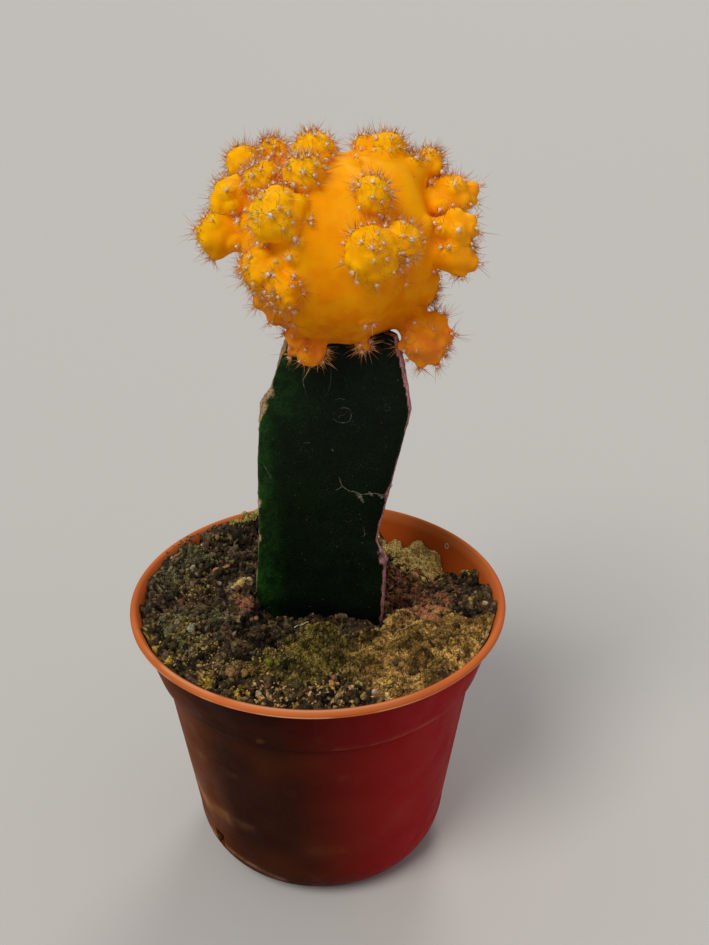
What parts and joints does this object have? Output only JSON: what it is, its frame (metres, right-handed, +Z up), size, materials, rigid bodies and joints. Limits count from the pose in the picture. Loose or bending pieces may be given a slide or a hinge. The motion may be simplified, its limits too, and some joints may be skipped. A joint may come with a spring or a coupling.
{
  "type": "potted moon cactus",
  "caption": "Moon cactus: a yellow, spiny, offsetting head grafted on a dark green three-ribbed stem, standing in mossy soil in a small terracotta-coloured plastic pot.",
  "frame": {"origin": "middle of the pot's foot, on the surface that the pot stands on", "axes": "+Z up along the pot's axis and the stem; the side seen in the picture faces -Y, with +X to its right"},
  "size_m": [0.09, 0.09, 0.1824],
  "materials": {
    "pot_plastic": "satin",
    "potting_mix": "matte",
    "stem_skin": "satin",
    "head_skin": "satin"
  },
  "bodies": {
    "root": {"pot": "pot_plastic", "soil": "potting_mix", "rootstock": "stem_skin", "scion": "head_skin"}
  },
  "joints": []
}
